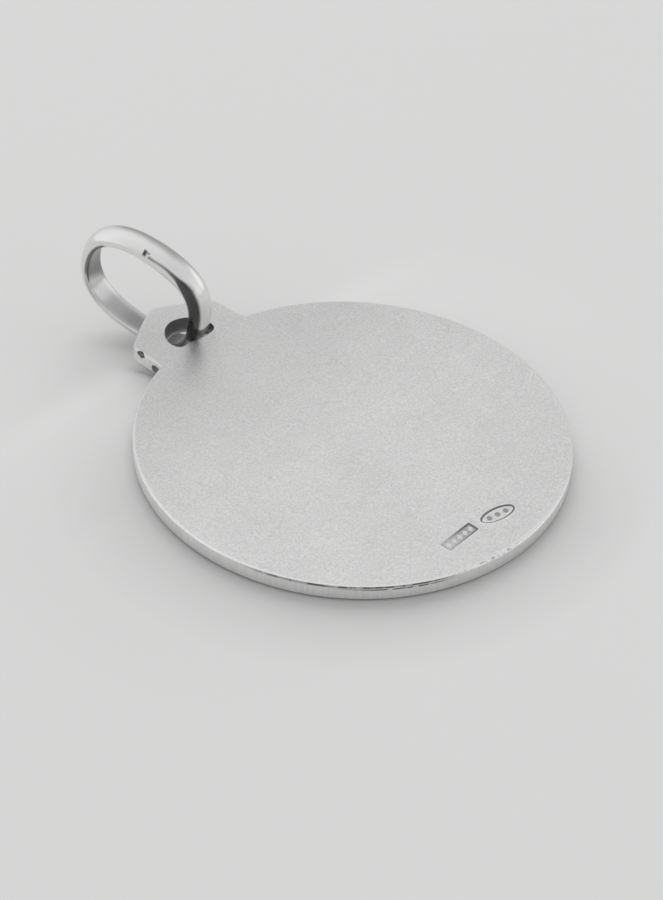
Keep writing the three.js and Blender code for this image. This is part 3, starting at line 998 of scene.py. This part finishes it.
def darken_ring(mesh):
    """Painted darkening of the wire: a dark reflection along one flank and on the dome by the seam,
    shade in the seam's notch, and darker patches along its inside. Below 0 is dark.
    """
    count = RING_STEPS * WIRE_SIDES
    station, side = np.meshgrid(np.arange(RING_STEPS), np.arange(WIRE_SIDES), indexing="ij")
    station = station * KNOT_STATIONS / RING_STEPS
    side = side * KNOT_SIDES / WIRE_SIDES
    from_seam = np.where(station > 400, station - KNOT_STATIONS, station)

    def along(knots, where=station):
        return np.interp(where, [k[0] for k in knots], [k[1] for k in knots])

    def by_seam(knots):
        return along(knots, from_seam)

    def band(centre, half, soft):
        return eased((half + soft - np.abs(side - centre)) / (2 * soft))

    wander = 0.25 * np.sin(from_seam * 0.21) * eased((50 - from_seam) / 20)
    # Painted dark reflection along the near flank
    flank_reflection = band(by_seam(FLANK_PLACE) + wander, by_seam(FLANK_HALF), by_seam(FLANK_SOFT))
    flank_reflection = flank_reflection * by_seam(FLANK_DEPTH)
    lower = band(32.0, 19.0, 3.0) * along(LOWER_DEPTH)
    # Painted reflection of the darker far side on the dome
    far_reflection = band(57.5, 3.6, 3.0) * by_seam(FAR_REFLECTION_DEPTH)
    inner = band(31.0, 16.4, 0.6) * eased((station + 0.9 * (side - 28) - 342) / 26)
    inner = inner * eased((INNER_END - station) / 8) * along(INNER_DEPTH)
    corner = band(16.3, 1.5, 1.2) * along(CORNER_DEPTH)
    foot = band(30.0, 9.0, 5.0) * along(FOOT_DEPTH)
    # Painted shade in the seam's notch
    notch = band(8.0, 2.6, 0.9) * eased((from_seam + 11.0) / 1.2) * eased((-5.0 - from_seam) / 1.6)
    values = np.zeros(len(mesh.vertices))
    values[:count] = -np.maximum.reduce([flank_reflection, lower, inner, corner, foot, notch, far_reflection]).ravel()
    wear_and_painted_light = mesh.attributes.new("wear_and_painted_light", "FLOAT", "POINT")
    wear_and_painted_light.data.foreach_set("value", values)


def smooth(mesh, angle_deg):
    mesh.polygons.foreach_set("use_smooth", [True] * len(mesh.polygons))
    mesh.set_sharp_from_angle(angle=math.radians(angle_deg))


def cut_pits(piece):
    """Two small casting pits in the ear's left flank, painted dark inside as their shade."""
    made = []
    for i, (x, y, z, radius) in enumerate(PITS):
        b = bmesh.new()
        bmesh.ops.create_icosphere(b, subdivisions=4, radius=radius * MM)
        for v in b.verts:
            long = Vector([v.co[k] * PIT_STRETCH[k] for k in range(3)])
            v.co = long + Vector((x, y, z)) * MM
            v.co = MEDAL_MATRIX @ v.co
        mesh = bpy.data.meshes.new("pit_tool")
        b.to_mesh(mesh)
        b.free()
        tool = bpy.data.objects.new("pit_tool_%d" % i, mesh)
        bpy.context.collection.objects.link(tool)
        made.append(tool)
        modifier = piece.modifiers.new("pit_%d" % i, "BOOLEAN")
        modifier.operation = "DIFFERENCE"
        modifier.solver = "EXACT"
        modifier.object = tool
    evaluated = piece.evaluated_get(bpy.context.evaluated_depsgraph_get())
    mesh = bpy.data.meshes.new_from_object(evaluated)
    piece.modifiers.clear()
    old = piece.data
    piece.data = mesh
    bpy.data.meshes.remove(old)
    back = MEDAL_MATRIX.inverted()
    for v, wear_and_painted_light in zip(mesh.vertices, mesh.attributes["wear_and_painted_light"].data):
        p = back @ v.co / MM
        for x, y, z, radius in PITS:
            reach = [(p[k] - (x, y, z)[k]) / PIT_STRETCH[k] for k in range(3)]
            if Vector(reach).length < PIT_SHADE_TO * radius and p.z < THICKNESS - 0.04:
                wear_and_painted_light.value = -1.0
    for tool in made:
        bpy.data.objects.remove(tool)


tilt = Matrix.Rotation(math.radians(MEDAL_TILT_DEG), 4, "X")
MEDAL_MATRIX = Matrix.Translation(Vector(MEDAL_PLACE) * MM) @ tilt

satin = satin_group()
scratches = scratch_group()
medal_finish = satin_silver(satin, scratches)
ring_finish = polished_silver(satin, scratches)

studs = stud_row_tree()
lozenges = run_tree(studs, "lozenges", {
    "Count": 5, "Pitch": 0.4, "Corners": 4, "Foot": 0.175, "Top": 0.125,
    "Stretch": 1.24, "Height": MARK_DEPTH,
})
pips = run_tree(studs, "pips", {
    "Count": 3, "Pitch": 0.5, "Corners": 24, "Foot": 0.15, "Top": 0.11,
    "Stretch": 1.0, "Height": MARK_DEPTH,
})
medal = as_piece(build_medal(lozenges, pips), "medal_body", medal_finish, MEDAL_MATRIX)
cut_pits(medal)
smooth(medal.data, 32)
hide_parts("medal")
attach(medal, "root")

ring_mesh = run_tree(wire_ring_tree(), "jump_ring_wire", {
    "Half Length": RING_HALF_LENGTH, "Half Height": RING_HALF_HEIGHT,
    "Squareness": 0.0349, "Square Phase": math.radians(17.7),
    "Unevenness": 0.0169, "Uneven Phase": math.radians(43.7),
    "Wire Width": WIRE_WIDTH, "Wire Thickness": WIRE_THICKNESS, "Wire Corner": WIRE_CORNER,
    "Seam Angle": math.radians(87), "Seam Gap": -0.02, "Seam Step": 0.15,
    "First Twist": math.radians(23.3), "First Twist Length": 0.6,
    "Last Twist": math.radians(11.1), "Last Twist Length": 0.45,
    "Steps": RING_STEPS, "Sides": WIRE_SIDES,
})
close_seam(ring_mesh)
darken_ring(ring_mesh)
upright = Matrix(((0, 0, 1, 0), (1, 0, 0, 0), (0, 1, 0, 0), (0, 0, 0, 1)))
turn = (
    Matrix.Rotation(math.radians(RING_TURN_DEG), 4, "Z")
    @ Matrix.Rotation(math.radians(RING_LEAN_DEG), 4, "Y")
    @ Matrix.Rotation(math.radians(RING_PITCH_DEG), 4, "X")
    @ upright
)
move = Matrix.Translation((RING_CENTRE[0] * MM, RING_CENTRE[1] * MM, 0))
ring_mesh.transform(move @ turn @ Matrix.Scale(MM, 4))
lowest = min(v.co.z for v in ring_mesh.vertices)
ring = as_piece(ring_mesh, "jump_ring_wire", ring_finish,
                Matrix.Translation((0, 0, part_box("jump_ring")[0].z - lowest)))
smooth(ring.data, 40)
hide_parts("jump_ring")
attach(ring, "root")


# Floor, light and camera

# How far the soft floor follows the medal's underside, in millimetres
FLOOR_FOLLOWS = 0.96
FLOOR_GAP = 0.03
FLOOR_HIGHEST = 0.75
FLOOR_HIGHEST_MORE = 0.25
FLOOR_END_Y = 4.0
FLOOR_FADE = 9.0
BESIDE_RING_X = -2.2


def soft_floor():
    """A large sheet of soft paper that rises a little under the disc, up to its lower rim."""
    far = [50, 100, 400, 2000]
    line = np.concatenate([[-2000, -400, -100, -50], np.arange(-30, 30.1, 0.5), far])
    count = len(line)
    x, y = np.meshgrid(line, line, indexing="ij")
    low = MEDAL_MATRIX @ (Vector((0, -DISC_RADIUS, 0)) * MM) / MM
    middle = MEDAL_MATRIX @ Vector((0, 0, 0)) / MM
    slope = math.tan(math.radians(MEDAL_TILT_DEG))
    under = FLOOR_FOLLOWS * (y - low.y) * slope - FLOOR_GAP
    away = np.hypot(x - middle.x, y - middle.y) - DISC_RADIUS
    beside_ring = eased((BESIDE_RING_X - x) / 0.8)
    end = FLOOR_END_Y * (1.0 + beside_ring)
    highest = FLOOR_HIGHEST + FLOOR_HIGHEST_MORE * eased((y - 1) / 3) * beside_ring
    rise = np.clip(under, 0.0, highest)
    rise = rise * (1 - eased((away - 0.2) / FLOOR_FADE)) * (1 - eased((y - end) / 3.0))
    points = np.stack([x, y, rise], axis=-1).reshape(-1, 3) * MM
    faces = []
    for i in range(count - 1):
        for j in range(count - 1):
            a = i * count + j
            faces.append((a, a + count, a + count + 1, a + 1))
    mesh = bpy.data.meshes.new("floor")
    mesh.from_pydata([tuple(p) for p in points], [], faces)
    mesh.polygons.foreach_set("use_smooth", [True] * len(mesh.polygons))
    mesh.update()
    return mesh


floor_mesh = soft_floor()
floor_mesh.materials.append(pale_paper())
floor = bpy.data.objects.new("floor", floor_mesh)
bpy.context.collection.objects.link(floor)

bpy.context.scene.view_settings.view_transform = "Standard"


# The room's light by direction: a level, its slope and curve, a dark way and a bright window
ROOM_LIGHT = 0.81
ROOM_SLOPE = (-0.174, -0.072, -0.156)
ROOM_CURVE = ((-0.094, -0.159, 0.168), (0.0, 0.094, 0.245), (0.0, 0.0, 0.16))
DARK_WAY = (-0.77, -0.64, 0.0)
DARK_DEPTH = 0.46
WINDOW_WAY = (0.83, -0.47, 0.29)
WINDOW_LIGHT = 0.32


def studio_world():
    """A pale room, dark low down where one looks in, with a soft window on the right."""
    world = bpy.data.worlds.new("studio")
    bpy.context.scene.world = world
    world.use_nodes = True
    world.node_tree.nodes.clear()
    paint = Paint(world.node_tree)
    way = paint.node("ShaderNodeTexCoord").outputs["Generated"]

    def dotted(slope):
        made = paint.node("ShaderNodeVectorMath", operation="DOT_PRODUCT")
        paint.feed(made.inputs[0], way)
        made.inputs[1].default_value = slope
        return made.outputs["Value"]

    def soft_step(value, low, high, to_low, to_high):
        made = paint.node("ShaderNodeMapRange", interpolation_type="SMOOTHSTEP")
        paint.feed(made.inputs["Value"], value)
        ends = {"From Min": low, "From Max": high, "To Min": to_low, "To Max": to_high}
        for label, number in ends.items():
            made.inputs[label].default_value = number
        return made.outputs["Result"]

    parts = paint.node("ShaderNodeSeparateXYZ")
    paint.feed(parts.inputs[0], way)
    height = parts.outputs[2]
    level = paint.math("SUBTRACT", 1.0, paint.math("MULTIPLY", height, height))
    level = paint.math("SQRT", paint.math("MAXIMUM", level, 0.0001))

    # Soft light that changes slowly with the direction
    light = paint.math("ADD", ROOM_LIGHT, dotted(ROOM_SLOPE))
    for part, slope in zip(parts.outputs, ROOM_CURVE):
        light = paint.math("ADD", light, paint.math("MULTIPLY", part, dotted(slope)))

    # The dark low opening from which one looks in
    facing = paint.math("DIVIDE", dotted(Vector(DARK_WAY).normalized()), level)
    dark = paint.math("MULTIPLY", soft_step(facing, 0.5, 0.95, 0.0, 1.0),
                      soft_step(height, 0.15, 0.5, 1.0, 0.0))
    light = paint.math("SUBTRACT", light, paint.math("MULTIPLY", dark, DARK_DEPTH))

    # The window
    window = dotted(Vector(WINDOW_WAY).normalized())
    bright = soft_step(window, 0.9, 0.985, 0.0, WINDOW_LIGHT)
    light = paint.math("MAXIMUM", paint.math("ADD", light, bright), 0.02)
    background = paint.node("ShaderNodeBackground")
    background.inputs["Color"].default_value = (1.0, 1.0, 1.0, 1.0)
    paint.feed(background.inputs["Strength"], light)
    paint.feed(paint.node("ShaderNodeOutputWorld").inputs["Surface"], background.outputs[0])


studio_world()


def softbox(name, place, target, size, radiance):
    """A soft light that the metal doesn't mirror."""
    data = bpy.data.lights.new(name, "AREA")
    data.shape = "RECTANGLE"
    data.size = size[0]
    data.size_y = size[1]
    data.energy = radiance * math.pi * size[0] * size[1]
    light = bpy.data.objects.new(name, data)
    light.location = Vector(place)
    light.rotation_euler = (Vector(target) - Vector(place)).to_track_quat("-Z", "Y").to_euler()
    light.visible_glossy = False
    bpy.context.collection.objects.link(light)
    return light


softbox("far_light", (0.90, 0.84, 1.23), (0, 0, 0), (1.65, 1.65), 1.55)

CAMERA_PLACE = (-59.264, -51.945 + PLACE_Y, 63.158)
CAMERA_WAY = (0.58099, 0.52313, -0.62353)

camera_data = bpy.data.cameras.new("camera")
camera_data.lens = 80.0
camera_data.sensor_width = 36.0
camera_data.clip_start = 0.001
camera_data.clip_end = 10.0
camera = bpy.data.objects.new("camera", camera_data)
camera.location = Vector(CAMERA_PLACE) * MM
camera.rotation_euler = Vector(CAMERA_WAY).to_track_quat("-Z", "Y").to_euler()
bpy.context.collection.objects.link(camera)
bpy.context.scene.camera = camera
